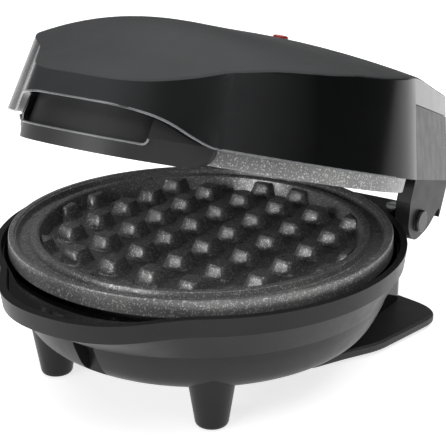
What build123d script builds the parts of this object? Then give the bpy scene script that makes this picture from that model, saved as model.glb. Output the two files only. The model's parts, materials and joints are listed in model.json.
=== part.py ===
from build123d import *
import math
import os

# Mini waffle maker: round base with a fixed lower plate, hinged lid with the upper plate.
# Millimetres. +Z up, the handle points to -Y, the hinge is at +Y, the table is z = 0.
# Everything is drawn about the plate centre with the lid closed; the lid is then turned
# about the hinge to its part-open rest angle and the whole model is moved by Y_SHIFT.

# ---- driving dimensions -------------------------------------------------------------
REST_OPEN = 18.0        # lid opening at rest, degrees
HINGE_Y = 74.0          # hinge axis
HINGE_Z = 40.0
Y_SHIFT = -12.6          # puts the middle of the rest-pose box at y = 0

R_PLATE = 69.0          # outer radius of a plate's lip
R_RIM = 74.2            # base rim and lid skirt radius
Z_LIP = 51.0            # lower plate lip
PLATE_GAP = 0.4         # between the two lips, lid closed
Z_UP = Z_LIP + PLATE_GAP
Z_RIM = 47.0            # base rim top
Z_BAND = 40.6           # lower edge of the rim band
Z_BOWL = 31.0           # top of the turned part of the bowl
R_BOWL = 68.4
WALL = 2.4

Z_SKIRT = 57.0          # lower edge of the lid cover beside the plate
Z_GRIP = 65.0           # lower edge of the cover at the handle
Z_SEAM = 82.0           # seam between cover and rear housing
Y_SEAM = 17.0
DRAFT = 12.0            # slope of the lid walls
TAIL_Y = 104.0          # rear end of the lid
TAIL_ANG = 14.0
TAIL_R = 16.0
FLAP_Z = 49.8           # lower edge of the front panel

PITCH = 16.3            # waffle grid
POST_BASE = 9.8
POST_TOP = 6.6
POST_H = 4.7

FOOT_X = 33.9
FOOT_Y = -43.4
FOOT_R_TOP = 8.6
FOOT_R_BOT = 5.8

COL_X = 45.4            # half width of the rear column
COL_Y = 79.0
COL_Z = 45.0
STAND_TOP = 4.8
STAND_BOT = 1.0

ARM_X0 = 46.0           # hinge arm, inner and outer face
ARM_X1 = 52.0
PIN_R = 2.5
BUSH_R = 4.2

LENS_X = 9.5            # indicator light, a little right of the centre line
LENS_Y = 17.0
LENS_R = 2.9

os.makedirs("parts", exist_ok=True)
NODES = {}


def keep(name, shape):
    NODES[name] = shape


def group(shapes):
    """Several separate solids as one node."""
    out = []
    for q in shapes:
        out += list(q.solids())
    return Compound(out)


def solid_of(shape):
    s = shape.solids()
    return s[0] if len(s) == 1 else group(s)


def cyl(x, y, z0, z1, r):
    return Pos(x, y, (z0 + z1) / 2) * Cylinder(r, z1 - z0)


def xcyl(x0, x1, y, z, r):
    return Pos((x0 + x1) / 2, y, z) * (Rot(0, 90, 0) * Cylinder(r, x1 - x0))


def block(x0, x1, y0, y1, z0, z1):
    return Pos((x0 + x1) / 2, (y0 + y1) / 2, (z0 + z1) / 2) * Box(x1 - x0, y1 - y0, z1 - z0)


def soft(shape, edges, r):
    """Round the given edges, with the largest of a few radii that closes."""
    for k in (1.0, 0.7, 0.45, 0.25):
        try:
            return fillet(list(edges), r * k)
        except Exception:
            continue
    return shape


def turned(pts):
    """Solid of revolution about Z from an (r, z) outline."""
    with BuildPart() as p:
        with BuildSketch(Plane.XZ):
            with BuildLine():
                Polyline(*pts, close=True)
            make_face()
        revolve(axis=Axis.Z)
    return p.part


# ---- plan outlines: circle with a front lobe, and with or without a rear tail -----------
LOBE = [(34.5, 0.0), (29.5, 1.1), (24.0, 4.0), (17.5, 8.3), (10.0, 11.3), (4.5, 12.1), (0.0, 12.2)]


def lobe_points(r, k, inset):
    """Front lobe points, right half first, moved inwards by inset."""
    full = [(a, d) for a, d in LOBE] + [(-a, d) for a, d in reversed(LOBE[:-1])]
    pts = []
    for a, d in full:
        b = math.radians(a)
        rr = r + k * d
        pts.append((rr * math.sin(b), -rr * math.cos(b)))
    out = []
    n = len(pts)
    for i, (x, y) in enumerate(pts):
        if i == 0 or i == n - 1:
            nx, ny = x / math.hypot(x, y), y / math.hypot(x, y)
        else:
            tx, ty = pts[i + 1][0] - pts[i - 1][0], pts[i + 1][1] - pts[i - 1][1]
            nx, ny = -ty, tx
            s = math.hypot(nx, ny)
            nx, ny = nx / s, ny / s
            if nx * x + ny * y < 0:
                nx, ny = -nx, -ny
        out.append((x - nx * inset, y - ny * inset))
    return out


def outline(z, r=R_RIM, k=1.0, inset=0.0, tail=False):
    """Closed wire at height z."""
    f = lobe_points(r, k, inset)
    x0, y0 = f[0]
    x1, y1 = f[-1]
    ri = r - inset
    # the lobe is drawn from right to left
    ta = (y0 / ri, -x0 / ri)
    tb = (y1 / ri, -x1 / ri)
    P = lambda p: Vector(p[0], p[1], z)
    e = [Edge.make_spline([P(p) for p in f], tangents=[Vector(ta[0], ta[1], 0), Vector(tb[0], tb[1], 0)])]
    if not tail:
        e.append(Edge.make_three_point_arc(P((x1, y1)), P((0, ri)), P((x0, y0))))
        return Wire(e)
    a = math.radians(TAIL_ANG)
    T = (ri * math.cos(a), ri * math.sin(a))
    yt = TAIL_Y - inset
    d = (-math.sin(a), math.cos(a))
    s = (yt - T[1]) / d[1]
    K = (T[0] + d[0] * s, yt)
    rc = TAIL_R - inset
    th = math.pi / 2 - a
    L = rc * math.tan(th / 2)
    P1 = (K[0] - d[0] * L, K[1] - d[1] * L)
    P2 = (K[0] - L, yt)
    cx, cy = P2[0], yt - rc
    m = math.pi / 2 - th / 2
    M = (cx + rc * math.cos(m), cy + rc * math.sin(m))
    b0 = math.atan2(y0, x0)
    mb = (b0 + a) / 2
    Q = (ri * math.cos(mb), ri * math.sin(mb))
    F = lambda p: (-p[0], p[1])
    e.append(Edge.make_three_point_arc(P((x1, y1)), P(F(Q)), P(F(T))))
    e.append(Edge.make_line(P(F(T)), P(F(P1))))
    e.append(Edge.make_three_point_arc(P(F(P1)), P(F(M)), P(F(P2))))
    e.append(Edge.make_line(P(F(P2)), P(P2)))
    e.append(Edge.make_three_point_arc(P(P2), P(M), P(P1)))
    e.append(Edge.make_line(P(P1), P(T)))
    e.append(Edge.make_three_point_arc(P(T), P(Q), P((x0, y0))))
    return Wire(e)


def loft2(w0, w1):
    return Solid.make_loft([w0, w1], ruled=True)


def prism(z0, z1, **kw):
    return Solid.extrude(Face(outline(z0, **kw)), Vector(0, 0, z1 - z0))


# ================================== BASE ==============================================
BOWL_PTS = [(49.0, 13.6), (56.5, 14.6), (62.2, 18.2), (65.4, 23.4), (67.2, 27.5), (R_BOWL, Z_BOWL)]


def bowl_turned(off, z_floor):
    pts = []
    n = len(BOWL_PTS)
    for i, (r, z) in enumerate(BOWL_PTS):
        a = BOWL_PTS[max(i - 1, 0)]
        b = BOWL_PTS[min(i + 1, n - 1)]
        tx, tz = b[0] - a[0], b[1] - a[1]
        s = math.hypot(tx, tz)
        pts.append((r - off * tz / s, z + off * tx / s))
    if off:
        pts[0] = (pts[0][0], z_floor)
        pts[-1] = (R_BOWL - off, Z_BOWL)
    with BuildPart() as p:
        with BuildSketch(Plane.XZ):
            with BuildLine():
                l1 = Line((0, z_floor), pts[0])
                l2 = Spline(*pts, tangents=[(1, 0.02), (0.35, 1.0)])
                l3 = Line(pts[-1], (0, Z_BOWL))
                Line((0, Z_BOWL), (0, z_floor))
            make_face()
        revolve(axis=Axis.Z)
    return p.part


bowl_out = bowl_turned(0.0, 13.6)
mid_out = loft2(outline(Z_BOWL, r=R_BOWL, k=0.12), outline(Z_BAND, r=R_RIM - 1.0, k=0.93))
rim_out = loft2(outline(Z_BAND, r=R_RIM - 0.7, k=0.97), outline(Z_RIM, r=R_RIM, k=1.0))
base_out = bowl_out + mid_out + rim_out
bowl_in = bowl_turned(WALL, 16.0)
mid_in = loft2(outline(Z_BOWL, r=R_BOWL - WALL, k=0.10), outline(Z_BAND, r=R_RIM - 1.0 - WALL, k=0.90))
rim_in = loft2(outline(Z_BAND, r=R_RIM - 1.0 - WALL, k=0.90), outline(Z_RIM + 0.001, r=R_RIM - WALL, k=0.95))
base_in = bowl_in + mid_in + rim_in

shell = base_out - base_in
# narrow upright recess in the middle of the front, 5 deep, closed behind
RECESS = 5.0
NX0, NX1 = -4.3, 4.3
keep_in = turned([(0, 10), (60.2, 10), (60.2, 23), (R_BOWL - RECESS, Z_BOWL), (0, Z_BOWL)])
keep_in = keep_in + loft2(outline(Z_BOWL, r=R_BOWL - RECESS, k=0.12), outline(Z_BAND, r=R_RIM - 1.0 - RECESS, k=0.90))
back_in = turned([(0, 16.0), (46.5, 16.0), (54.6, 17.4), (57.8, 23), (R_BOWL - RECESS - 2.2, Z_BOWL), (0, Z_BOWL)])
back_in = back_in + loft2(outline(Z_BOWL, r=R_BOWL - RECESS - 2.2, k=0.12), outline(Z_BAND, r=R_RIM - 3.2 - RECESS, k=0.90))
back_in = back_in + prism(Z_BAND, 42.0, r=R_RIM - 3.2 - RECESS, k=0.90)
liner = (block(NX0 - 2.2, NX1 + 2.2, -90, -40, 13.0, 41.0) & base_out & base_in) - back_in
shell = shell + liner
shell = shell - (block(NX0, NX1, -90, -50.0, 9.0, 38.8) - keep_in)
# three hollow posts carry the plate; a screw runs up each
POSTS = [(51.0 * math.cos(math.radians(a)), 51.0 * math.sin(math.radians(a))) for a in (90, 210, 330)]
for px, py in POSTS:
    shell = shell + (cyl(px, py, 15.0, 33.4, 4.2))
for px, py in POSTS:
    shell = shell - cyl(px, py, 10, 40, 2.2) - cyl(px, py, 10, 17.5, 3.9)
# wire way into the rear column and four bosses that take the column screws
shell = shell - block(-9, 9, 60, 80, 24, 33)
# ribs under the collar
dish = loft2(outline(43.5, r=70.2, k=0.02), outline(Z_RIM - 0.5, r=R_RIM - WALL - 0.12, k=0.945))
dish_low = dish.translate(Vector(0, 0, -1.8))
for rx in (-22.0, -11.0, 11.0, 22.0):
    shell = shell + ((block(rx - 0.9, rx + 0.9, -90, -70.6, 36.0, 43.0) & base_in) - dish_low)
keep("base_bowl", shell)

# collar: glossy dish between the plate and the rim, open scoop under the handle
collar = dish_low - dish - cyl(0, 0, 30, 60, 70.2)
collar = collar & loft2(outline(Z_BAND, r=R_RIM - 1.15 - WALL, k=0.885), outline(Z_RIM + 0.001, r=R_RIM - WALL - 0.15, k=0.935))
keep("base_collar", collar)


# plates ------------------------------------------------------------------------------
def grid_posts(z0, up):
    """Truncated pyramids of the waffle grid, standing on z0."""
    posts = []
    n = 4
    for i in range(-n, n):
        for j in range(-n, n):
            cx, cy = (i + 0.5) * PITCH, (j + 0.5) * PITCH
            if math.hypot(cx, cy) > 60.5:
                continue
            b, t = POST_BASE / 2, POST_TOP / 2
            za, zb = (z0 - 0.6, z0 + POST_H) if up else (z0 + 0.6, z0 - POST_H)
            k = 0.6 * (POST_BASE - POST_TOP) / 2 / POST_H
            b2 = b + k
            w = lambda h, z: Wire.make_polygon([Vector(cx - h, cy - h, z), Vector(cx + h, cy - h, z),
                                                Vector(cx + h, cy + h, z), Vector(cx - h, cy + h, z)], close=True)
            posts.append(Solid.make_loft([w(b2, za), w(t, zb)], ruled=True))
    return posts


def plate(up=True):
    """Cast plate: lip, overflow channel, ridge, cavity with its grid, element boss below."""
    base = Z_LIP if up else Z_UP
    s = 1 if up else -1
    Z = lambda h: base + s * h
    prof = [(0, -9.4), (54.0, -9.4), (60.0, -6.4), (67.2, -6.4), (69.5, -6.4), (69.0, 0.0), (67.0, 0.0),
            (66.8, -0.45), (66.3, -0.5), (65.6, -2.9), (61.6, -2.9), (60.9, -0.9), (60.3, -0.6), (58.9, -0.6),
            (58.2, -1.0), (56.4, -6.2), (0, -6.2)]
    body = turned([(r, Z(h)) for r, h in prof])
    cap = cyl(0, 0, min(Z(-6.9), Z(-1.2)), max(Z(-6.9), Z(-1.2)), 57.2)
    posts = None
    group = grid_posts(Z(-6.2), up)
    inner = [p for p in group]
    clipped = []
    for p in inner:
        c = p.center()
        if math.hypot(c.X, c.Y) + POST_BASE * 0.75 > 55.0:
            q = p & turned([(0, Z(-6.9)), (56.6, Z(-6.9)), (57.6, Z(-1.4)), (0, Z(-1.4))])
            if q is None:
                continue
            for sld in q.solids():
                if sld.volume > 12:
                    clipped.append(sld)
        else:
            clipped.append(p)
    body = body.fuse(*clipped)
    # boss ring with the groove that the heating element lies in
    lo, hi = sorted((Z(-9.0), Z(-12.8)))
    ring = cyl(0, 0, lo, hi, 45.0) - cyl(0, 0, lo - 1, hi + 1, 35.0)
    body = body + ring
    body = body - Pos(0, 0, Z(-12.8)) * Torus(40.0, 3.3)
    for px, py in POSTS:
        lo, hi = sorted((Z(-9.0), Z(-16.6)))
        body = body + cyl(px, py, lo, hi, 4.2)
        lo, hi = sorted((Z(-8.2), Z(-16.7)))
        body = body - cyl(px, py, lo, hi, 1.65)
    return body, Z


lower, ZL = plate(True)
keep("lower_plate", lower)


def element(Z, s):
    """Tubular heater: open ring with two cold ends that turn away from the plate."""
    zc = Z(-12.8)
    g = math.radians(17)
    r = 40.0
    a0 = (r * math.sin(g), r * math.cos(g), zc)
    a1 = (-a0[0], a0[1], zc)
    path = Wire([Edge.make_three_point_arc(Vector(*a0), Vector(0, -r, zc), Vector(*a1))])
    t0 = Vector(-math.cos(g), math.sin(g), 0)
    prof = Wire.make_circle(3.2, Plane(origin=Vector(*a0), z_dir=t0))
    ring = Solid.sweep(Face(prof), path)
    ends = []
    for sx in (1, -1):
        lo, hi = sorted((zc, zc - s * 12.5))
        lug = cyl(sx * a0[0], a0[1], lo, hi, 3.0)
        ends.append(lug)
        ends.append(Pos(sx * a0[0], a0[1], zc) * Sphere(3.2))
        lo, hi = sorted((zc - s * 12.4, zc - s * 17.0))
        ends.append(cyl(sx * a0[0], a0[1], lo, hi, 1.5))
    body = ring
    for e in ends:
        body = body + e
    return body


keep("lower_heating_element", element(ZL, 1))


def reflector(Z, s):
    lo, hi = sorted((Z(-16.7), Z(-17.5)))
    disc = cyl(0, 0, lo, hi, 57.5)
    lo, hi = sorted((Z(-12.0), Z(-17.5)))
    rim = cyl(0, 0, lo, hi, 57.5) - cyl(0, 0, lo - 1, hi + 1, 56.7)
    body = disc + rim
    a, b = Z(-20), Z(-10)
    lo, hi = min(a, b), max(a, b)
    for px, py in POSTS:
        body = body - cyl(px, py, lo, hi, 2.2)
    body = body - cyl(0, 0, lo, hi, 9.0)
    for sx in (1, -1):
        body = body - cyl(sx * 40.0 * math.sin(math.radians(17)), 40.0 * math.cos(math.radians(17)), lo, hi, 4.0)
    return body


keep("lower_heat_reflector", reflector(ZL, 1))


def thermostat(Z, s, x=0.0, y=0.0):
    lo, hi = sorted((Z(-9.45), Z(-17.5)))
    can = cyl(x, y, lo, hi, 7.6)
    lo, hi = sorted((Z(-17.5), Z(-21.5)))
    cap = cyl(x, y, lo, hi, 8.4)
    lo, hi = sorted((Z(-21.4), Z(-25.0)))
    tabs = block(x - 8.0, x - 4.0, y - 1, y + 1, lo, hi) + block(x + 4.0, x + 8.0, y - 1, y + 1, lo, hi)
    return can + cap + tabs


keep("lower_thermostat", thermostat(ZL, 1))

# long screws that clamp plate, reflector and bowl together, heads in the bowl's floor
scr = []
for px, py in POSTS:
    scr.append(solid_of((cyl(px, py, 17.5, ZL(-10.2), 1.6) + cyl(px, py, 14.6, 17.5, 3.4)) - block(px - 2.6, px + 2.6, py - 0.45, py + 0.45, 14.0, 15.7)))
keep("base_screws", group(scr))

# terminal block on the bowl's floor
tb = block(-15, 15, 22, 34, 16.0, 27.0)
for tx in (-9, 0, 9):
    tb = tb - block(tx - 3, tx + 3, 20, 36, 18.6, 23.4) - cyl(tx, 28, 23, 28, 1.9)
keep("terminal_block", tb)

# feet ----------------------------------------------------------------------------------
for tag, sx in (("left", -1), ("right", 1)):
    with BuildPart() as fp:
        with BuildSketch(Plane.XZ):
            with BuildLine():
                Polyline((0, 0.3), (FOOT_R_BOT - 1.4, 0.3))
                Spline((FOOT_R_BOT - 1.4, 0.3), (FOOT_R_BOT - 0.4, 0.75), (FOOT_R_BOT, 1.9),
                       tangents=[(1, 0), (0.13, 1)])
                Polyline((FOOT_R_BOT, 1.9), (FOOT_R_TOP, 20.0), (0, 20.0), (0, 0.3))
            make_face()
        revolve(axis=Axis.Z)
    foot = (Pos(sx * FOOT_X, FOOT_Y, 0) * fp.part) - base_out
    foot = foot - cyl(sx * FOOT_X, FOOT_Y, 0, 3.0, 2.6)
    keep("front_foot_" + tag, foot)
pads = [Pos(sx * FOOT_X, FOOT_Y, 1.5) * Cylinder(2.55, 3.0) for sx in (-1, 1)]
pads = [soft(p, [p.edges().sort_by(Axis.Z)[0]], 0.5) for p in pads]
keep("front_foot_pads", group([solid_of(p) for p in pads]))

# rear column ---------------------------------------------------------------------------
with BuildPart() as cp:
    with BuildSketch(Plane.XY.offset(STAND_TOP)):
        with Locations((0, (44.0 + COL_Y) / 2)):
            Rectangle(2 * COL_X, COL_Y - 44.0)
    extrude(amount=COL_Z - STAND_TOP)
    fillet(cp.edges().filter_by(Axis.Z).group_by(Axis.Y)[-1], 7.0)
    fillet(cp.faces().sort_by(Axis.Z)[-1].edges().group_by(Axis.Y)[-1], 1.2)
col = cp.part
col_in = block(-COL_X + 3, COL_X - 3, 40, COL_Y - 3, STAND_TOP - 1, COL_Z - 3)
col_in = fillet(col_in.edges().filter_by(Axis.Z).group_by(Axis.Y)[-1], 4.5)
col = col - col_in
for sx in (-1, 1):
    x0, x1 = sorted((sx * (COL_X - 11.0), sx * (COL_X - 1.5)))
    boss = xcyl(x0, x1, HINGE_Y, HINGE_Z, 4.8)
    web = block(x0, x1, HINGE_Y - 4.8, COL_Y - 2, HINGE_Z - 4.8, HINGE_Z + 4.6)
    col = col + (boss + web)
    x0, x1 = sorted((sx * (COL_X - 6.0), sx * ARM_X0 * 0.9985))
    col = col + xcyl(x0, x1, HINGE_Y, HINGE_Z, 4.6)
    # screw bosses up from the stand
    col = col + (cyl(sx * 33.0, 68.0, STAND_TOP, 22.0, 4.0) + block(min(sx * 30, sx * 36), max(sx * 30, sx * 36), 70, COL_Y - 2, STAND_TOP, 22.0))
col = col - base_out
for sx in (-1, 1):
    x0, x1 = sorted((sx * (COL_X - 12.0), sx * (ARM_X0 + 1)))
    col = col - xcyl(x0, x1, HINGE_Y, HINGE_Z, PIN_R)
    col = col - cyl(sx * 33.0, 68.0, STAND_TOP - 1, 18.0, 1.6)
# round hole for the cord gland
GL_Z = 19.0
col = col - Pos(0, COL_Y - 1.5, GL_Z) * (Rot(90, 0, 0) * Cylinder(5.6, 8.0))
keep("rear_column", col)

gl = Pos(0, COL_Y + 1.2, GL_Z) * (Rot(90, 0, 0) * Cylinder(7.6, 2.4))
gl = soft(gl, [gl.edges().filter_by(GeomType.CIRCLE).sort_by(Axis.Y)[-1]], 0.9)
gl = gl + Pos(0, COL_Y - 2.0, GL_Z) * (Rot(90, 0, 0) * Cylinder(5.6, 4.1))
gl = gl + Pos(0, COL_Y - 4.2, GL_Z) * (Rot(90, 0, 0) * Cylinder(6.6, 2.0)) - Pos(0, COL_Y, GL_Z) * (Rot(90, 0, 0) * Cylinder(3.4, 30.0))
keep("cord_gland", gl)

# stand plate
with BuildPart() as sp:
    with BuildSketch(Plane.XY.offset(STAND_BOT)) as sk:
        with BuildLine():
            side = [(63.2, 64.0), (61.0, 52.7), (57.3, 34.0), (50.0, 20.5), (42.5, 5.0)]
            back = [(63.2, 64.0), (62.6, 70.0), (58.6, 74.2), (50.0, 77.2), (36.0, 79.8), (18.0, 80.9), (0, 81.2)]
            Spline(*(back + [(-x, y) for x, y in reversed(back[:-1])]), tangents=[(0.08, 1), (0.08, -1)])
            Polyline(*[(-x, y) for x, y in side])
            Polyline(*side)
            Line((-42.5, 5.0), (42.5, 5.0))
        make_face()
        fillet([v for v in sk.vertices() if 10 < v.Y < 60], 30.0)
        fillet([v for v in sk.vertices() if v.Y < 6], 8.0)
    extrude(amount=STAND_TOP - STAND_BOT)
    fillet(sp.faces().sort_by(Axis.Z)[-1].edges(), 1.0)
    fillet(sp.faces().sort_by(Axis.Z)[0].edges(), 1.2)
stand = sp.part
PADS = [(-49.0, 65.0), (49.0, 65.0)]
for px, py in PADS:
    stand = stand - cyl(px, py, 0, STAND_BOT + 1.2, 6.6)
for sx in (-1, 1):
    stand = stand - cyl(sx * 33.0, 68.0, 0, 8, 2.2) - cyl(sx * 33.0, 68.0, 0, STAND_BOT + 2.0, 3.6)
keep("rear_stand_plate", stand)
rp = []
for px, py in PADS:
    c = cyl(px, py, 0.0, STAND_BOT + 1.2, 6.4)
    rp.append(solid_of(soft(c, [c.edges().sort_by(Axis.Z)[0]], 0.6)))
keep("rear_stand_pads", group(rp))
ss = []
for sx in (-1, 1):
    ss.append(solid_of((cyl(sx * 33.0, 68.0, STAND_BOT + 2.0, 15.0, 1.5) + cyl(sx * 33.0, 68.0, STAND_BOT + 0.1, STAND_BOT + 2.0, 3.2))
                       - block(sx * 33.0 - 2.4, sx * 33.0 + 2.4, 67.6, 68.4, 0, STAND_BOT + 1.0)))
keep("stand_screws", group(ss))

# hinge pins, headed, pressed into the column
hp = []
for sx in (-1, 1):
    x0, x1 = sorted((sx * (COL_X - 10.5), sx * (ARM_X1 + 0.4)))
    pin = xcyl(x0, x1, HINGE_Y, HINGE_Z, PIN_R)
    x0, x1 = sorted((sx * (ARM_X1 + 0.3), sx * (ARM_X1 + 2.0)))
    head = xcyl(x0, x1, HINGE_Y, HINGE_Z, 4.4)
    head = soft(head, [head.edges().filter_by(GeomType.CIRCLE).sort_by(Axis.X)[-1 if sx > 0 else 0]], 0.8)
    hp.append(solid_of(pin + head))
keep("hinge_pins", group(hp))

# ================================== LID (drawn closed) ===================================
# (y, height of the centre line above the upper lip, cross curvature per metre)
CROWN = [(-112, 5.09, 6.31), (-104, 9.52, 6.31), (-96, 13.95, 6.31), (-88, 18.43, 6.26), (-80, 23.25, 6.03),
         (-72, 27.7, 5.72), (-64, 32.16, 5.37), (-56, 37.83, 4.94), (-48, 42.39, 4.29), (-40, 44.21, 3.54), (-32,
         44.69, 2.83), (-24, 45.06, 2.32), (-16, 45.48, 2.1), (-8, 45.99, 1.96), (0, 46.47, 1.83), (8, 46.77, 1.72),
         (16, 46.74, 1.63), (24, 46.4, 1.56), (32, 45.89, 1.52), (40, 45.3, 1.51), (48, 44.74, 1.51), (56, 44.22,
         1.51), (64, 43.75, 1.52), (72, 43.31, 1.53), (80, 42.89, 1.54), (88, 42.44, 1.56), (96, 41.91, 1.59), (104,
         41.31, 1.61), (112, 40.69, 1.61), (120, 40.06, 1.61)]


def crown_at(y):
    """Height of the top's centre line above the lip, straight between the rows."""
    for (y0, h0, k0), (y1, h1, k1) in zip(CROWN, CROWN[1:]):
        if y0 <= y <= y1:
            return h0 + (h1 - h0) * (y - y0) / (y1 - y0)
    return CROWN[-1][1]


def top_body(drop):
    """Everything under the domed top surface, lowered by drop."""
    rows = [[Vector(x, y, Z_UP + h - x * x * k / 1000.0 - drop) for x in range(-96, 97, 16)] for y, h, k in CROWN]
    f = Face.make_surface_from_array_of_points(rows, smoothing=(1, 0.5, 0.5), tol=0.05, min_deg=3, max_deg=5)
    return Solid.extrude(f, Vector(0, 0, -70))


Z_TOPREF = 102.0
LEAN = (Z_TOPREF - Z_SKIRT) * math.tan(math.radians(DRAFT))
lid_out = loft2(outline(Z_SKIRT, tail=True), outline(Z_TOPREF, inset=LEAN, tail=True))
lid_in = loft2(outline(Z_SKIRT, inset=WALL, tail=True), outline(Z_TOPREF, inset=LEAN + WALL, tail=True))
top_out = top_body(0.0)
top_in = top_body(WALL)
lid_full = lid_out & top_out
crease = [e for e in lid_full.edges() if e.center().Z > Z_UP + 16.0]
lid_full = soft(lid_full, crease, 1.5)
lid_void = (lid_in & top_in)

# side view of the cover's lower edge: low beside the plate, raised at the handle
with BuildPart() as gp:
    with BuildSketch(Plane.YZ.offset(-60)):
        with BuildLine():
            s1 = Spline((-62.0, Z_SKIRT), (-67.0, 59.0), (-72.0, 61.9), (-77.5, 63.9), (-84.0, Z_GRIP), (-96.0, Z_GRIP + 0.6),
                        tangents=[(-1.0, 0.25), (-1, 0.02)])
            Polyline((-96.0, Z_GRIP + 0.6), (-96, 50), (-62.0, 50), (-62.0, Z_SKIRT))
        make_face()
    extrude(amount=120)
grip_cut = gp.part
seam_low = block(-90, 90, Y_SEAM, 120, 40, Z_SEAM)

wall_all = lid_full - lid_void - grip_cut
FRAME_Z = 57.5           # underside of the inner frame
top_mid = top_body(WALL - 0.6)
cover = wall_all - block(-90, 90, Y_SEAM - 0.25, 120, 40, Z_SEAM + 0.25)
cover = cover - cyl(LENS_X, LENS_Y, 85, 110, LENS_R + 0.15)
# screw bosses inside the cover: two at the handle, two over the rear housing
CB = [(-9.5, -73.2), (9.5, -73.2), (-34.0, 84.0), (34.0, 84.0)]
for bx, by in CB:
    z0 = FRAME_Z + 2.2 if by < 0 else Z_SKIRT + 2.6
    cover = cover + (cyl(bx, by, z0, 100, 3.1 if by < 0 else 3.8) & top_mid)
for bx, by in CB:
    cover = cover - cyl(bx, by, 50, 73, 1.45)
keep("lid_top_cover", cover)

housing = wall_all & seam_low
floor = (prism(Z_SKIRT, Z_SKIRT + 2.4, inset=WALL - 0.001, tail=True) & block(-90, 90, 40, 120, 50, 60)) - cyl(0, 0, 50, 60, 72.4)
housing = housing + floor
# shelf lugs for the arms and clearance for the screws
for bx, by in CB[2:]:
    housing = housing - cyl(bx, by, 50, 60, 1.9)
keep("lid_rear_housing", housing)

# hinge arms: rounded gussets that drop from the rear housing to the pins
for tag, sx in (("left", -1), ("right", 1)):
    x0 = ARM_X0 if sx > 0 else -ARM_X1
    with BuildPart() as ap:
        with BuildSketch(Plane.YZ.offset(x0)):
            with BuildLine():
                Polyline((64.0, Z_SKIRT), (63.2, 46.5), (65.2, 38.0))
                Spline((65.2, 38.0), (68.0, 34.3), (73.5, 32.3), (80.0, 34.6), (87.0, 39.6), (93.0, 45.2), (96.6, Z_SKIRT),
                       tangents=[(0.35, -1.0), (0.12, 1.0)])
                Line((96.6, Z_SKIRT), (64.0, Z_SKIRT))
            make_face()
        extrude(amount=ARM_X1 - ARM_X0)
    arm = ap.part
    arm = soft(arm, [e for e in arm.edges() if abs(abs(e.center().X) - ARM_X1) < 0.01 and e.center().Z < Z_SKIRT - 1], 1.0)
    xa, xb = sorted((sx * (ARM_X0 - 1), sx * (ARM_X1 + 1)))
    arm = arm - xcyl(xa, xb, HINGE_Y, HINGE_Z, BUSH_R)
    keep("hinge_arm_" + tag, arm)
bu = []
for sx in (-1, 1):
    xa, xb = sorted((sx * (ARM_X0 + 0.1), sx * (ARM_X1 - 0.05)))
    bu.append(solid_of(xcyl(xa, xb, HINGE_Y, HINGE_Z, BUSH_R) - xcyl(xa - 1, xb + 1, HINGE_Y, HINGE_Z, PIN_R + 0.05)))
keep("hinge_bushes", group(bu))

# front panel hanging under the handle, with a finger recess
flap_ring = prism(FLAP_Z, 68.0, inset=WALL + 0.25) - prism(FLAP_Z - 1, 69.0, inset=WALL + 2.0, k=0.86)
with BuildPart() as fm:
    with BuildSketch(Plane.XZ.offset(55)):
        with Locations((0, (FLAP_Z + 90) / 2)):
            RectangleRounded(2 * 38.6, 90 - FLAP_Z, 6.5)
    extrude(amount=45)
flap = flap_ring & fm.part
# above the cover's lower edge the panel follows the sloping wall
low_zone = block(-60, 60, -100, -40, 40, Z_SKIRT)
flap_slope = (loft2(outline(Z_SKIRT, inset=WALL + 0.25), outline(Z_TOPREF, inset=LEAN + WALL + 0.25))
              - loft2(outline(Z_SKIRT, inset=WALL + 2.0, k=0.86), outline(Z_TOPREF, inset=LEAN + WALL + 2.0, k=0.86))) & block(-60, 60, -100, -40, Z_SKIRT, 67.0)
flap = (flap & low_zone) + (flap_slope & fm.part)
with BuildPart() as rm:
    with BuildSketch(Plane.XZ.offset(60)):
        with Locations((0, (54.6 + 64.6) / 2)):
            RectangleRounded(2 * 24.5, 10.0, 2.6)
    extrude(amount=40)
keeper = loft2(outline(50.0, inset=WALL + 2.2 - 5.4 * math.tan(math.radians(DRAFT)), k=1.0), outline(75.0, inset=WALL + 2.2 + 19.6 * math.tan(math.radians(DRAFT)), k=1.0))
flap = flap - (rm.part - keeper) - cyl(0, 0, 40, 60, 69.9)
keep("handle_front_panel", flap)

# inner frame: ring that closes the lid round the upper plate, with the underside of the handle
def sloped(inset, k=1.0):
    return loft2(outline(Z_SKIRT, inset=inset, k=k), outline(Z_TOPREF, inset=LEAN + inset, k=k))


frame = (sloped(WALL + 0.2) & block(-90, 90, -95, 90, FRAME_Z, FRAME_Z + 2.0)) - cyl(0, 0, 50, 65, 69.95)
frame = frame - ((sloped(WALL - 1.0) - sloped(WALL + 2.25, k=0.86)) & block(-39.0, 39.0, -100, -55, 50, 70))
for bx, by in CB[:2]:
    frame = frame - cyl(bx, by, 50, 70, 1.7)
halves = frame.solids().sort_by(Axis.Y)
keep("handle_lower_plate", halves[0])
keep("lid_inner_ring", halves[-1])

upper, ZU = plate(False)
keep("upper_plate", upper)
keep("upper_heating_element", element(ZU, -1))
keep("upper_heat_reflector", reflector(ZU, -1))
keep("upper_thermal_cutout", thermostat(ZU, -1))
us = []
for px, py in POSTS:
    us.append(solid_of((cyl(px, py, ZU(-11.0), ZU(-17.5), 1.6) + cyl(px, py, ZU(-17.5), ZU(-19.6), 3.2)) - block(px - 2.4, px + 2.4, py - 0.4, py + 0.4, ZU(-19.0), ZU(-20.5))))
keep("upper_plate_screws", group(us))
fuse = Pos(24, 8, ZU(-20.4)) * (Rot(0, 90, 0) * Cylinder(1.8, 14.0)) + Pos(24, 8, ZU(-20.4)) * (Rot(0, 90, 0) * Cylinder(0.5, 26.0))
clip = block(20, 28, 5.0, 11.0, ZU(-17.5), ZU(-18.3)) + block(20, 28, 5.0, 6.0, ZU(-17.5), ZU(-21.5)) + block(20, 28, 10.0, 11.0, ZU(-17.5), ZU(-21.5))
keep("thermal_fuse", fuse)
keep("fuse_clip", clip)

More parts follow.
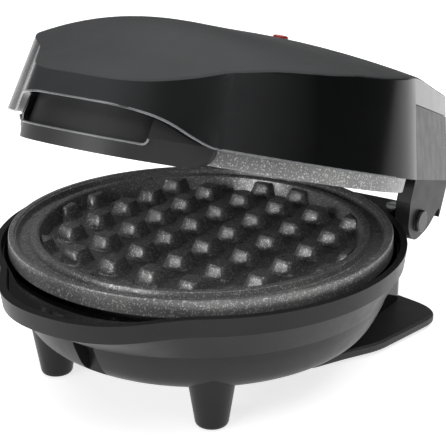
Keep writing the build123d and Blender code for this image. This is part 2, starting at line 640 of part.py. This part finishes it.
# indicator: lens in the cover, lamp and bracket below
zt = Z_UP + crown_at(LENS_Y) - 0.15
lens = cyl(LENS_X, LENS_Y, zt - WALL - 1.4, zt + 1.5, LENS_R)
lens = soft(lens, [lens.edges().filter_by(GeomType.CIRCLE).sort_by(Axis.Z)[-1]], 0.8)
lens = lens + cyl(LENS_X, LENS_Y, zt - WALL - 1.4, zt - WALL - 0.5, LENS_R + 1.2)
keep("indicator_lens", lens)
lamp = cyl(LENS_X, LENS_Y, zt - WALL - 9.0, zt - WALL - 3.6, 1.9)
lamp = lamp + Pos(LENS_X, LENS_Y, zt - WALL - 3.6) * Sphere(1.9)
keep("indicator_lamp", lamp)
brk = block(LENS_X - 7, LENS_X + 7, LENS_Y - 3.2, LENS_Y + 3.2, zt - WALL - 10.2, zt - WALL - 9.0)
keep("lamp_bracket", brk)

ls = []
for bx, by in CB:
    zh = FRAME_Z if by < 0 else Z_SKIRT
    ls.append(solid_of((cyl(bx, by, zh, zh + 12.5, 1.35) + cyl(bx, by, zh - 1.9, zh, 2.6)) - block(bx - 2.2, bx + 2.2, by - 0.4, by + 0.4, zh - 2.5, zh - 1.0)))
keep("lid_screws", group(ls))

LID = ["lid_top_cover", "lid_rear_housing", "hinge_arm_left", "hinge_arm_right", "hinge_bushes", "handle_front_panel",
       "lid_inner_ring", "handle_lower_plate", "upper_plate", "upper_heating_element", "upper_heat_reflector", "upper_thermal_cutout",
       "upper_plate_screws", "thermal_fuse", "fuse_clip", "indicator_lens", "indicator_lamp", "lamp_bracket", "lid_screws"]

axis = Axis((0, HINGE_Y, HINGE_Z), (1, 0, 0))
lo, hi = 1e9, -1e9
for name in list(NODES):
    s = NODES[name]
    if name in LID:
        s = s.rotate(axis, -REST_OPEN)
    s = s.translate(Vector(0, Y_SHIFT, 0))
    NODES[name] = s
    bb = s.bounding_box()
    lo, hi = min(lo, bb.min.Y), max(hi, bb.max.Y)
    export_step(s, "parts/" + name + ".step")
print("nodes", len(NODES), "y range", round(lo, 3), round(hi, 3), "middle", round((lo + hi) / 2, 3))
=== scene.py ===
import bpy
import bmesh
import json
import math
import random
from mathutils import Matrix, Vector


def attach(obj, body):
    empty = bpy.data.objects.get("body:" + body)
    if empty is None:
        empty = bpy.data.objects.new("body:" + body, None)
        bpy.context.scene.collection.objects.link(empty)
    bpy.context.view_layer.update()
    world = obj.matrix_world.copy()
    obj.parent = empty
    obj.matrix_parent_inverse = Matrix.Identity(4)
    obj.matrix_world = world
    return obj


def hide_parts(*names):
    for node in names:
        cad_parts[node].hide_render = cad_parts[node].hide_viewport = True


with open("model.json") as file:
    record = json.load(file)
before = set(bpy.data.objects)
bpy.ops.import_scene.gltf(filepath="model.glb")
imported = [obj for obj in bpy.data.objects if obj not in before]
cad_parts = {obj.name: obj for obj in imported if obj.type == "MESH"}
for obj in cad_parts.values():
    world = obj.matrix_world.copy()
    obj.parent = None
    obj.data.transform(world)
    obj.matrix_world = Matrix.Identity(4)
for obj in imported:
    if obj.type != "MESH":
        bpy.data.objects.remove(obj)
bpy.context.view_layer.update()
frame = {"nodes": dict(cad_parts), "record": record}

random.seed(7)
YS = -0.0126                      # model shift used by the part, metres
HY, HZ = 0.074 + YS, 0.040        # hinge line
REST = math.radians(18.0)


# ------------------------------------------------------------------ materials ----------
def new_mat(name):
    m = bpy.data.materials.new(name)
    m.use_nodes = True
    nt = m.node_tree
    b = nt.nodes["Principled BSDF"]
    return m, nt, b


def noise(nt, scale, detail=3.0, rough=0.5, vec=None):
    n = nt.nodes.new("ShaderNodeTexNoise")
    n.inputs["Scale"].default_value = scale
    n.inputs["Detail"].default_value = detail
    n.inputs["Roughness"].default_value = rough
    if vec is not None:
        nt.links.new(vec, n.inputs["Vector"])
    return n


def ramp(nt, fac, stops):
    r = nt.nodes.new("ShaderNodeValToRGB")
    el = r.color_ramp.elements
    while len(el) < len(stops):
        el.new(0.5)
    for e, (p, c) in zip(el, stops):
        e.position = p
        e.color = c if len(c) == 4 else (*c, 1.0)
    nt.links.new(fac, r.inputs["Fac"])
    return r


def maprange(nt, val, a, b, c, d):
    n = nt.nodes.new("ShaderNodeMapRange")
    n.inputs["From Min"].default_value = a
    n.inputs["From Max"].default_value = b
    n.inputs["To Min"].default_value = c
    n.inputs["To Max"].default_value = d
    nt.links.new(val, n.inputs["Value"])
    return n.outputs["Result"]


def obj_coords(nt):
    t = nt.nodes.new("ShaderNodeTexCoord")
    return t.outputs["Object"]


def moulded(name, base, rough, spread=0.05, grain=2600.0, grain_h=0.004, mottle=0.12, spec=0.5, coat=0.0, coat_r=0.1,
            wave=0.0, scuff=0.0, top=None):
    """Moulded plastic: slight shade mottling, roughness variation, fine grain and faint sink waves; with top given,
    upward faces get a rougher satin finish and a lighter colour that is painted top light.
    """
    m, nt, b = new_mat(name)
    v = obj_coords(nt)
    n1 = noise(nt, 55.0, 4.0, 0.55, v)
    lo = [c * (1 - mottle) for c in base]
    hi = [c * (1 + mottle) for c in base]
    col = ramp(nt, n1.outputs["Fac"], [(0.3, lo), (0.7, hi)])
    out = col.outputs["Color"]
    if scuff:
        n4 = noise(nt, 420.0, 5.0, 0.7, v)
        mask = ramp(nt, n4.outputs["Fac"], [(0.60, (0, 0, 0)), (0.72, (scuff, scuff, scuff))])
        mx = nt.nodes.new("ShaderNodeMix")
        mx.data_type = "RGBA"
        mx.blend_type = "ADD"
        mx.inputs[0].default_value = 1.0
        nt.links.new(out, mx.inputs[6])
        nt.links.new(mask.outputs["Color"], mx.inputs[7])
        out = mx.outputs[2]
    n2 = noise(nt, 140.0, 5.0, 0.6, v)
    r_out = maprange(nt, n2.outputs["Fac"], 0.3, 0.7, rough - spread, rough + spread)
    if top:
        # upward faces carry a finer satin texture than the polished walls, and a lighter base colour there that is
        # painted top light
        tc = nt.nodes.new("ShaderNodeTexCoord")
        sp = nt.nodes.new("ShaderNodeSeparateXYZ")
        nt.links.new(tc.outputs["Normal"], sp.inputs[0])
        f = maprange(nt, sp.outputs["Z"], 0.36, 0.60, 0.0, 1.0)
        # painted top light: lighter colour for upward faces
        up = ramp(nt, n1.outputs["Fac"], [(0.3, [c * 0.94 for c in top[0]]), (0.7, [c * 1.06 for c in top[0]])])
        painted_top_light_mix = nt.nodes.new("ShaderNodeMix")
        painted_top_light_mix.data_type = "RGBA"
        nt.links.new(f, painted_top_light_mix.inputs[0])
        nt.links.new(out, painted_top_light_mix.inputs[6])
        nt.links.new(up.outputs["Color"], painted_top_light_mix.inputs[7])
        out = painted_top_light_mix.outputs[2]
        r_top = maprange(nt, n2.outputs["Fac"], 0.3, 0.7, top[1] - 0.04, top[1] + 0.04)
        mr = nt.nodes.new("ShaderNodeMix")
        mr.data_type = "FLOAT"
        nt.links.new(f, mr.inputs[0])
        nt.links.new(r_out, mr.inputs[2])
        nt.links.new(r_top, mr.inputs[3])
        r_out = mr.outputs[0]
    nt.links.new(out, b.inputs["Base Color"])
    nt.links.new(r_out, b.inputs["Roughness"])
    b.inputs["Specular IOR Level"].default_value = spec
    b.inputs["Coat Weight"].default_value = coat
    b.inputs["Coat Roughness"].default_value = coat_r
    n3 = noise(nt, grain, 2.0, 0.6, v)
    bp = nt.nodes.new("ShaderNodeBump")
    bp.inputs["Strength"].default_value = 1.0
    bp.inputs["Distance"].default_value = grain_h * 0.001
    nt.links.new(n3.outputs["Fac"], bp.inputs["Height"])
    last = bp
    if wave:
        n5 = noise(nt, 26.0, 1.0, 0.4, v)
        b2 = nt.nodes.new("ShaderNodeBump")
        b2.inputs["Strength"].default_value = 1.0
        b2.inputs["Distance"].default_value = wave * 0.001
        nt.links.new(n5.outputs["Fac"], b2.inputs["Height"])
        nt.links.new(bp.outputs["Normal"], b2.inputs["Normal"])
        last = b2
    nt.links.new(last.outputs["Normal"], b.inputs["Normal"])
    return m


def metal(name, base, rough, grain=900.0, h=0.004, metallic=1.0, stretch=(1, 1, 1)):
    m, nt, b = new_mat(name)
    v = obj_coords(nt)
    mp = nt.nodes.new("ShaderNodeMapping")
    mp.inputs["Scale"].default_value = stretch
    nt.links.new(v, mp.inputs["Vector"])
    n1 = noise(nt, grain, 4.0, 0.6, mp.outputs["Vector"])
    col = ramp(nt, n1.outputs["Fac"], [(0.3, [c * 0.85 for c in base]), (0.7, [min(1, c * 1.1) for c in base])])
    nt.links.new(col.outputs["Color"], b.inputs["Base Color"])
    nt.links.new(maprange(nt, n1.outputs["Fac"], 0.3, 0.7, rough - 0.07, rough + 0.07), b.inputs["Roughness"])
    b.inputs["Metallic"].default_value = metallic
    bp = nt.nodes.new("ShaderNodeBump")
    bp.inputs["Distance"].default_value = h * 0.001
    nt.links.new(n1.outputs["Fac"], bp.inputs["Height"])
    nt.links.new(bp.outputs["Normal"], b.inputs["Normal"])
    return m


def nonstick(name, base=0.19):
    """Dark non-stick coat on cast aluminium: fine pale flecks, slight orange peel."""
    m, nt, b = new_mat(name)
    v = obj_coords(nt)
    fl = nt.nodes.new("ShaderNodeTexVoronoi")
    fl.feature = "F1"
    fl.inputs["Scale"].default_value = 1500.0
    fl.inputs["Randomness"].default_value = 1.0
    nt.links.new(v, fl.inputs["Vector"])
    size = noise(nt, 900.0, 2.0, 0.5, v)
    cut = nt.nodes.new("ShaderNodeMath")
    cut.operation = "SUBTRACT"
    nt.links.new(size.outputs["Fac"], cut.inputs[0])
    nt.links.new(fl.outputs["Distance"], cut.inputs[1])
    fleck = ramp(nt, cut.outputs["Value"], [(0.12, (0, 0, 0)), (0.30, (1, 1, 1))])
    n1 = noise(nt, 60.0, 4.0, 0.6, v)
    ground = ramp(nt, n1.outputs["Fac"], [(0.3, (base * 0.8, base * 0.8, base * 0.82)), (0.7, (base * 1.2, base * 1.19, base * 1.17))])
    mx = nt.nodes.new("ShaderNodeMix")
    mx.data_type = "RGBA"
    nt.links.new(fleck.outputs["Color"], mx.inputs[0])
    nt.links.new(ground.outputs["Color"], mx.inputs[6])
    mx.inputs[7].default_value = (0.52, 0.52, 0.52, 1)
    nt.links.new(mx.outputs[2], b.inputs["Base Color"])
    n2 = noise(nt, 260.0, 4.0, 0.6, v)
    nt.links.new(maprange(nt, n2.outputs["Fac"], 0.3, 0.7, 0.26, 0.40), b.inputs["Roughness"])
    b.inputs["Metallic"].default_value = 0.35
    b.inputs["Specular IOR Level"].default_value = 0.6
    n3 = noise(nt, 700.0, 2.0, 0.5, v)
    bp = nt.nodes.new("ShaderNodeBump")
    bp.inputs["Distance"].default_value = 0.00004
    nt.links.new(n3.outputs["Fac"], bp.inputs["Height"])
    nt.links.new(bp.outputs["Normal"], b.inputs["Normal"])
    return m


M = {
    # lid_gloss top colour is painted top light on upward faces; its top roughness is the real satin finish
    "lid_gloss": moulded("lid_gloss", (0.0045, 0.0047, 0.005), 0.15, 0.025, 1500.0, 0.0010, 0.15, 0.12, 0.0, 0.06, wave=0.03, scuff=0.001,
                         top=((0.058, 0.059, 0.061), 0.50)),
    "body_satin": moulded("body_satin", (0.0135, 0.0135, 0.0142), 0.36, 0.05, 2400.0, 0.004, 0.12, 0.22, scuff=0.004),
    "trim_gloss": moulded("trim_gloss", (0.006, 0.006, 0.0064), 0.08, 0.02, 1500.0, 0.0006, 0.15, 0.3, 0.10, 0.03, wave=0.03),
    "panel_matte": moulded("panel_matte", (0.022, 0.022, 0.023), 0.46, 0.05, 2200.0, 0.006, 0.10, 0.45, scuff=0.01),
    "nonstick": nonstick("nonstick"),
    "bright_aluminium": metal("bright_aluminium", (0.72, 0.72, 0.73), 0.34, 300.0, 0.004, stretch=(1, 18, 1)),
    "heater_steel": metal("heater_steel", (0.30, 0.27, 0.24), 0.45, 500.0, 0.006),
    "zinc_steel": metal("zinc_steel", (0.58, 0.59, 0.60), 0.32, 900.0, 0.004),
    "pin_steel": metal("pin_steel", (0.055, 0.055, 0.058), 0.30, 900.0, 0.003, metallic=0.6),
    "rubber_black": moulded("rubber_black", (0.022, 0.022, 0.022), 0.72, 0.06, 1600.0, 0.010, 0.15, 0.35, scuff=0.012),
    "bush_nylon": moulded("bush_nylon", (0.60, 0.58, 0.52), 0.42, 0.05, 1600.0, 0.004, 0.05),
    "terminal_white": moulded("terminal_white", (0.70, 0.68, 0.62), 0.45, 0.05, 1600.0, 0.004, 0.05),
    "ceramic_cream": moulded("ceramic_cream", (0.72, 0.68, 0.58), 0.6, 0.05, 1600.0, 0.008, 0.06),
}

# red lens: tinted, partly transmissive
m, nt, b = new_mat("lens_red")
v = obj_coords(nt)
n = noise(nt, 300.0, 2.0, 0.5, v)
c = ramp(nt, n.outputs["Fac"], [(0.3, (0.42, 0.012, 0.010)), (0.7, (0.60, 0.022, 0.018))])
nt.links.new(c.outputs["Color"], b.inputs["Base Color"])
nt.links.new(maprange(nt, n.outputs["Fac"], 0.3, 0.7, 0.12, 0.2), b.inputs["Roughness"])
b.inputs["Transmission Weight"].default_value = 0.25
b.inputs["Coat Weight"].default_value = 0.5
M["lens_red"] = m
m, nt, b = new_mat("lamp_amber")
v = obj_coords(nt)
n = noise(nt, 400.0, 2.0, 0.5, v)
c = ramp(nt, n.outputs["Fac"], [(0.3, (0.75, 0.32, 0.16)), (0.7, (0.85, 0.42, 0.22))])
nt.links.new(c.outputs["Color"], b.inputs["Base Color"])
b.inputs["Roughness"].default_value = 0.15
b.inputs["Transmission Weight"].default_value = 0.5
M["lamp_amber"] = m

slot_of = {s["node"]: s["material_slot"] for s in frame["record"]["subparts"]}
for node, obj in frame["nodes"].items():
    mat = M[slot_of[node]]
    if not obj.material_slots:
        obj.data.materials.append(mat)
    for s in obj.material_slots:
        s.material = mat


# ------------------------------------------------------------------ mesh helpers -------
def finish_piece(obj, body, slot, nodes, smooth=40.0):
    bpy.context.scene.collection.objects.link(obj)
    obj.data.materials.clear()
    obj.data.materials.append(M[slot])
    for p in obj.data.polygons:
        p.use_smooth = True
    obj.data.set_sharp_from_angle(angle=math.radians(smooth))
    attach(obj, body)
    if nodes:
        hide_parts(*nodes)
    return obj


def arc_corner(p0, p1, p2, r, n=4):
    """Points that round the corner p1 between p0 and p2."""
    a = Vector(p0) - Vector(p1)
    c = Vector(p2) - Vector(p1)
    la, lc = a.length, c.length
    if la < 1e-9 or lc < 1e-9:
        return [tuple(p1)]
    a.normalize()
    c.normalize()
    ang = a.angle(c)
    if ang > math.radians(172):
        return [tuple(p1)]
    L = min(r / math.tan(ang / 2), la * 0.45, lc * 0.45)
    s, e, m = Vector(p1) + a * L, Vector(p1) + c * L, Vector(p1)
    out = []
    for i in range(n + 1):
        t = i / n
        q = s * (1 - t) ** 2 + m * 2 * t * (1 - t) + e * t * t
        out.append((q.x, q.y))
    return out


def rounded(pts, radii, n=4, closed=True):
    out = []
    k = len(pts)
    for i, p in enumerate(pts):
        r = radii[i] if i < len(radii) else 0
        if r <= 0 or (not closed and i in (0, k - 1)):
            out.append(tuple(p))
            continue
        out += arc_corner(pts[i - 1], p, pts[(i + 1) % k], r, n)
    return out


def lathe(bm, prof, seg, cx=0.0, cy=0.0):
    """Closed solid of revolution from (r, z) points that start and end on the axis, or a closed ring."""
    ring = prof[0][0] > 1e-6
    rows = []
    for r, z in prof:
        if r <= 1e-6:
            rows.append([bm.verts.new((cx, cy, z))])
        else:
            rows.append([bm.verts.new((cx + r * math.cos(2 * math.pi * i / seg), cy + r * math.sin(2 * math.pi * i / seg), z)) for i in range(seg)])
    pairs = list(zip(rows, rows[1:]))
    if ring:
        pairs.append((rows[-1], rows[0]))
    for a, c in pairs:
        for i in range(seg):
            j = (i + 1) % seg
            if len(a) == 1 and len(c) == 1:
                continue
            if len(a) == 1:
                bm.faces.new((a[0], c[i], c[j]))
            elif len(c) == 1:
                bm.faces.new((a[i], c[0], a[j]))
            else:
                bm.faces.new((a[i], c[i], c[j], a[j]))


# ------------------------------------------------------------------ waffle plates ------
PITCH, TOP_H, RUN, POST_H = 16.3, 3.35, 1.65, 4.7


def grid_height(x, y):
    """Height of the cast grid above the cavity floor, millimetres."""
    i = math.floor(x / PITCH)
    j = math.floor(y / PITCH)
    cx, cy = (i + 0.5) * PITCH, (j + 0.5) * PITCH
    rc = 1.3
    qx, qy = abs(x - cx) - (TOP_H - rc), abs(y - cy) - (TOP_H - rc)
    d = math.hypot(max(qx, 0), max(qy, 0)) + min(max(qx, qy), 0) - rc
    t = (d + 0.30) / (RUN + 0.60)
    if t <= 0:
        h = 1.0
    elif t >= 1:
        h = 0.0
    else:
        s = t * t * (3 - 2 * t)
        h = 1 - (0.45 * s + 0.55 * t) if 0.12 < t < 0.88 else 1 - (0.45 * s + 0.55 * (t if 0.12 < t < 0.88 else t))
    crown = 0.10 * max(0.0, 1 - (max(abs(x - cx), abs(y - cy)) / TOP_H) ** 2)
    return POST_H * h + (crown if d < 0 else 0.0)


def plate_mesh(name):
    """The lower plate in millimetres about the plate axis, z measured from its lip."""
    bm = bmesh.new()
    prof = [(0.0, -9.3), (53.9, -9.3), (59.9, -6.3), (69.4, -6.3), (69.0, -0.05), (67.0, -0.02), (66.7, -0.5), (66.2, -0.55),
            (65.5, -2.9), (61.7, -2.9), (60.9, -0.75), (60.3, -0.6), (58.9, -0.6), (58.1, -1.0), (56.5, -6.3), (54.5, -6.9),
            (0.0, -6.9)]
    rad = [0, 1.0, 1.0, 0.5, 0.55, 0.35, 0.2, 0.25, 0.9, 0.9, 0.45, 0.3, 0.35, 0.6, 0.9, 0, 0]
    pts = rounded(prof, rad, 5, closed=False)
    lathe(bm, pts, 192)
    # boss ring
    for rr in ((35.0, 45.0),):
        ring = [(rr[0], -9.0), (rr[0], -12.7), (rr[0] + 1.6, -12.7), (37.6, -10.4), (40, -9.6), (42.4, -10.4), (rr[1] - 1.6, -12.7), (rr[1], -12.7), (rr[1], -9.0)]
        lathe(bm, ring, 96)
    # grid slab
    xs = []
    half = 57.6
    k = -4
    base = [-8.15, -7.2, -6.2, -5.45, -5.05, -4.65, -4.2, -3.75, -3.4, -3.05, -2.5, -1.3, 0.0, 1.3, 2.5, 3.05, 3.4, 3.75, 4.2, 4.65, 5.05, 5.45, 6.2, 7.2]
    for i in range(-4, 4):
        for b in base:
            x = (i + 0.5) * PITCH + b
            if -half <= x <= half:
                xs.append(x)
    xs = sorted(xs)
    nx = len(xs)
    top = {}
    for a in range(nx):
        for c in range(nx):
            x, y = xs[a], xs[c]
            r = math.hypot(x, y)
            if r > 60.2:
                continue
            if r > 57.2:
                x, y = x * 57.2 / r, y * 57.2 / r
            h = grid_height(xs[a], xs[c])
            top[(a, c)] = bm.verts.new((x, y, -6.2 + min(h, 4.75)))
    edge = {}
    for a in range(nx - 1):
        for c in range(nx - 1):
            q = [top.get((a, c)), top.get((a + 1, c)), top.get((a + 1, c + 1)), top.get((a, c + 1))]
            if None in q:
                continue
            rr = [math.hypot(v.co.x, v.co.y) for v in q]
            if min(rr) > 57.15:
                continue
            bm.faces.new(q)
    # close the slab with a skirt and a flat underside
    open_edges = [e for e in bm.edges if e.is_boundary]
    res = bmesh.ops.extrude_edge_only(bm, edges=open_edges)
    nv = [v for v in res["geom"] if isinstance(v, bmesh.types.BMVert)]
    for v in nv:
        v.co.z = -8.2
    loose = [v for v in bm.verts if not v.link_faces]
    bmesh.ops.delete(bm, geom=loose, context="VERTS")
    rim = [e for e in bm.edges if e.is_boundary]
    bmesh.ops.holes_fill(bm, edges=rim, sides=0)
    bmesh.ops.recalc_face_normals(bm, faces=bm.faces)
    me = bpy.data.meshes.new(name)
    bm.to_mesh(me)
    bm.free()
    return me


def lid_matrix():
    """Closed, plate-centred millimetres to the rest pose in metres."""
    s = Matrix.Scale(0.001, 4)
    t0 = Matrix.Translation((0, YS, 0))
    t1 = Matrix.Translation((0, HY, HZ))
    r = Matrix.Rotation(-REST, 4, "X")
    return t1 @ r @ t1.inverted() @ t0 @ s


def base_matrix():
    return Matrix.Translation((0, YS, 0)) @ Matrix.Scale(0.001, 4)


me = plate_mesh("lower_plate_cast")
low = bpy.data.objects.new("lower_plate_cast", me)
me.transform(base_matrix() @ Matrix.Translation((0, 0, 51.0)))
finish_piece(low, "base", "nonstick", ["lower_plate"])
me2 = plate_mesh("upper_plate_cast")
up = bpy.data.objects.new("upper_plate_cast", me2)
me2.transform(lid_matrix() @ Matrix.Translation((0, 0, 51.4)) @ Matrix.Scale(-1, 4, (0, 0, 1)))
me2.flip_normals()
finish_piece(up, "lid", "nonstick", ["upper_plate"])


# ------------------------------------------------------------------ edge beads, painted highlight ---
LOBE = [(0.0, 12.2), (4.5, 12.1), (10.0, 11.3), (17.5, 8.3), (24.0, 4.0), (29.5, 1.1), (34.5, 0.0)]
Z_SKIRT, DRAFT = 57.0, math.tan(math.radians(12.0))


def smooth_table(tab, x):
    if x <= tab[0][0]:
        return tab[0][1]
    for i in range(len(tab) - 1):
        (a, fa), (b, fb) = tab[i], tab[i + 1]
        if a <= x <= b:
            ma = 0.0 if i == 0 else (fb - tab[i - 1][1]) / (b - tab[i - 1][0])
            mb = 0.0 if i + 2 >= len(tab) else (tab[i + 2][1] - fa) / (tab[i + 2][0] - a)
            L = b - a
            u = (x - a) / L
            return (fa * (1 + 2 * u) * (1 - u) ** 2 + ma * L * u * (1 - u) ** 2 + fb * u * u * (3 - 2 * u) + mb * L * u * u * (u - 1))
    return tab[-1][1]


def wall_point(b_deg, z, inset=0.0, k=1.0):
    """Point on the lid wall: b from the front centre, to the right when positive."""
    r = 74.2 + k * smooth_table(LOBE, abs(b_deg)) - inset - (z - Z_SKIRT) * DRAFT
    b = math.radians(b_deg)
    return Vector((r * math.sin(b), -r * math.cos(b), z))


GRIP = [(-84.0, 65.0), (-77.5, 63.9), (-72.0, 61.9), (-67.0, 59.0), (-62.0, 57.0)]


def tube(name, pts, radii, body, mat, seg=8, matrix=None):
    """Closed round bead along a path, with flat end caps."""
    bm = bmesh.new()
    rows = []
    n = len(pts)
    for i, p in enumerate(pts):
        d = (pts[min(i + 1, n - 1)] - pts[max(i - 1, 0)]).normalized()
        s = d.cross(Vector((0, 0, 1)))
        if s.length < 1e-4:
            s = Vector((1, 0, 0))
        s.normalize()
        u = s.cross(d)
        r = radii[i] if isinstance(radii, list) else radii
        rows.append([bm.verts.new(p + (s * math.cos(2 * math.pi * j / seg) + u * math.sin(2 * math.pi * j / seg)) * r) for j in range(seg)])
    for a, c in zip(rows, rows[1:]):
        for j in range(seg):
            bm.faces.new((a[j], a[(j + 1) % seg], c[(j + 1) % seg], c[j]))
    bm.faces.new(rows[0][::-1])
    bm.faces.new(rows[-1])
    bmesh.ops.recalc_face_normals(bm, faces=bm.faces)
    me = bpy.data.meshes.new(name)
    bm.to_mesh(me)
    bm.free()
    me.transform(matrix)
    o = bpy.data.objects.new(name, me)
    M[name] = mat
    bpy.context.scene.collection.objects.link(o)
    me.materials.append(mat)
    for p in me.polygons:
        p.use_smooth = True
    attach(o, body)
    return o


# the light grey bead colour is a painted highlight along the cover's lower edge and the recess ledge
painted_highlight_mat = moulded("edge_painted_highlight", (0.16, 0.165, 0.17), 0.22, 0.05, 1200.0, 0.001, 0.25, 0.7)
LM = lid_matrix()
pts = []
for i in range(-96, 97):
    bdeg = i * 0.9
    p = wall_point(bdeg, Z_SKIRT)
    z = Z_SKIRT
    for _ in range(6):
        z = smooth_table(GRIP, p.y) if p.y < -62.0 else Z_SKIRT
        p = wall_point(bdeg, z)
    pts.append(wall_point(bdeg, z, 0.42) + Vector((0, 0, 0.10)))
tube("cover_edge_bead", pts, 0.42, "lid", painted_highlight_mat, 10, LM)
# ledge under the finger recess: straight run with a small hook at each end
pts = []
for i in range(-30, 31):
    x = i * 24.2 / 30
    b = math.degrees(math.asin(max(-1, min(1, x / 83.0))))
    q = wall_point(b, Z_SKIRT, 2.95)
    pts.append(Vector((q.x, q.y, 54.75)))
for s, k in ((1, -1), (-1, 0)):
    e = pts[k]
    hook = []
    for j in range(1, 7):
        a = math.pi * 0.5 * j / 6
        hook.append(Vector((e.x + s * 2.0 * math.sin(a), e.y + 0.55 * math.sin(a) * 2.0 * 0.35, e.z + 2.0 * (1 - math.cos(a)))))
    if k == -1:
        pts = pts + hook
    else:
        pts = hook[::-1] + pts
tube("recess_ledge_bead", pts, 0.40, "lid", painted_highlight_mat, 10, LM)


# ------------------------------------------------------------------ floor, light, camera
bm = bmesh.new()
n = 24
R = 2.6
vs = [[bm.verts.new((-R + 2 * R * i / n, -R + 2 * R * j / n, -0.0002)) for j in range(n + 1)] for i in range(n + 1)]
for i in range(n):
    for j in range(n):
        bm.faces.new((vs[i][j], vs[i + 1][j], vs[i + 1][j + 1], vs[i][j + 1]))
fm = bpy.data.meshes.new("floor")
bm.to_mesh(fm)
bm.free()
floor = bpy.data.objects.new("floor", fm)
bpy.context.scene.collection.objects.link(floor)
m, nt, b = new_mat("floor_pale")
v = obj_coords(nt)
nz = noise(nt, 14.0, 3.0, 0.5, v)
c = ramp(nt, nz.outputs["Fac"], [(0.3, (0.86, 0.86, 0.86)), (0.7, (0.88, 0.88, 0.88))])
nt.links.new(c.outputs["Color"], b.inputs["Base Color"])
b.inputs["Roughness"].default_value = 0.85
b.inputs["Specular IOR Level"].default_value = 0.1
b.inputs["Emission Color"].default_value = (1, 1, 1, 1)
b.inputs["Emission Strength"].default_value = 0.75
floor.data.materials.append(m)


def area(name, loc, target, sx, sy, power, color=(1, 1, 1)):
    l = bpy.data.lights.new(name, "AREA")
    l.shape = "RECTANGLE"
    l.size, l.size_y = sx, sy
    l.energy = power
    l.color = color
    o = bpy.data.objects.new(name, l)
    bpy.context.scene.collection.objects.link(o)
    o.location = loc
    o.rotation_euler = (Vector(target) - Vector(loc)).to_track_quat("-Z", "Y").to_euler()
    return o


area("softbox_top", (0.00, 0.05, 1.50), (0, 0, 0), 2.3, 2.3, 28.0)
area("softbox_back", (0.05, 1.45, 1.15), (0, 0, 0.05), 1.4, 0.6, 1.4)
area("front_low", (-0.30, -1.30, 0.40), (0, 0, 0.05), 0.9, 0.35, 6.5)

w = bpy.data.worlds.new("studio")
bpy.context.scene.world = w
w.use_nodes = True
wn = w.node_tree
bg = wn.nodes["Background"]
bg.inputs["Color"].default_value = (1, 1, 1, 1)
bg.inputs["Strength"].default_value = 0.10
bg2 = wn.nodes.new("ShaderNodeBackground")
bg2.inputs["Color"].default_value = (1, 1, 1, 1)
bg2.inputs["Strength"].default_value = 1.0
mix = wn.nodes.new("ShaderNodeMixShader")
lp = wn.nodes.new("ShaderNodeLightPath")
wn.links.new(lp.outputs["Is Camera Ray"], mix.inputs["Fac"])
wn.links.new(bg.outputs["Background"], mix.inputs[1])
wn.links.new(bg2.outputs["Background"], mix.inputs[2])
wn.links.new(mix.outputs["Shader"], wn.nodes["World Output"].inputs["Surface"])

bpy.context.scene.view_settings.view_transform = "Standard"
bpy.context.scene.view_settings.look = "None"

YAW, PIT = 0.587, 0.354
loc = Vector((0.23240, -0.33509 + YS, 0.20173))
fw = Vector((-math.sin(YAW) * math.cos(PIT), math.cos(YAW) * math.cos(PIT), -math.sin(PIT)))
rt = Vector((math.cos(YAW), math.sin(YAW), 0))
upv = rt.cross(fw)
cam = bpy.data.cameras.new("camera")
cam.sensor_width = 36.0
cam.lens = 96.9
cam.clip_start = 0.01
co = bpy.data.objects.new("camera", cam)
bpy.context.scene.collection.objects.link(co)
mw = Matrix((
    (rt.x, upv.x, -fw.x, loc.x),
    (rt.y, upv.y, -fw.y, loc.y),
    (rt.z, upv.z, -fw.z, loc.z),
    (0, 0, 0, 1)))
co.matrix_world = mw
bpy.context.scene.camera = co
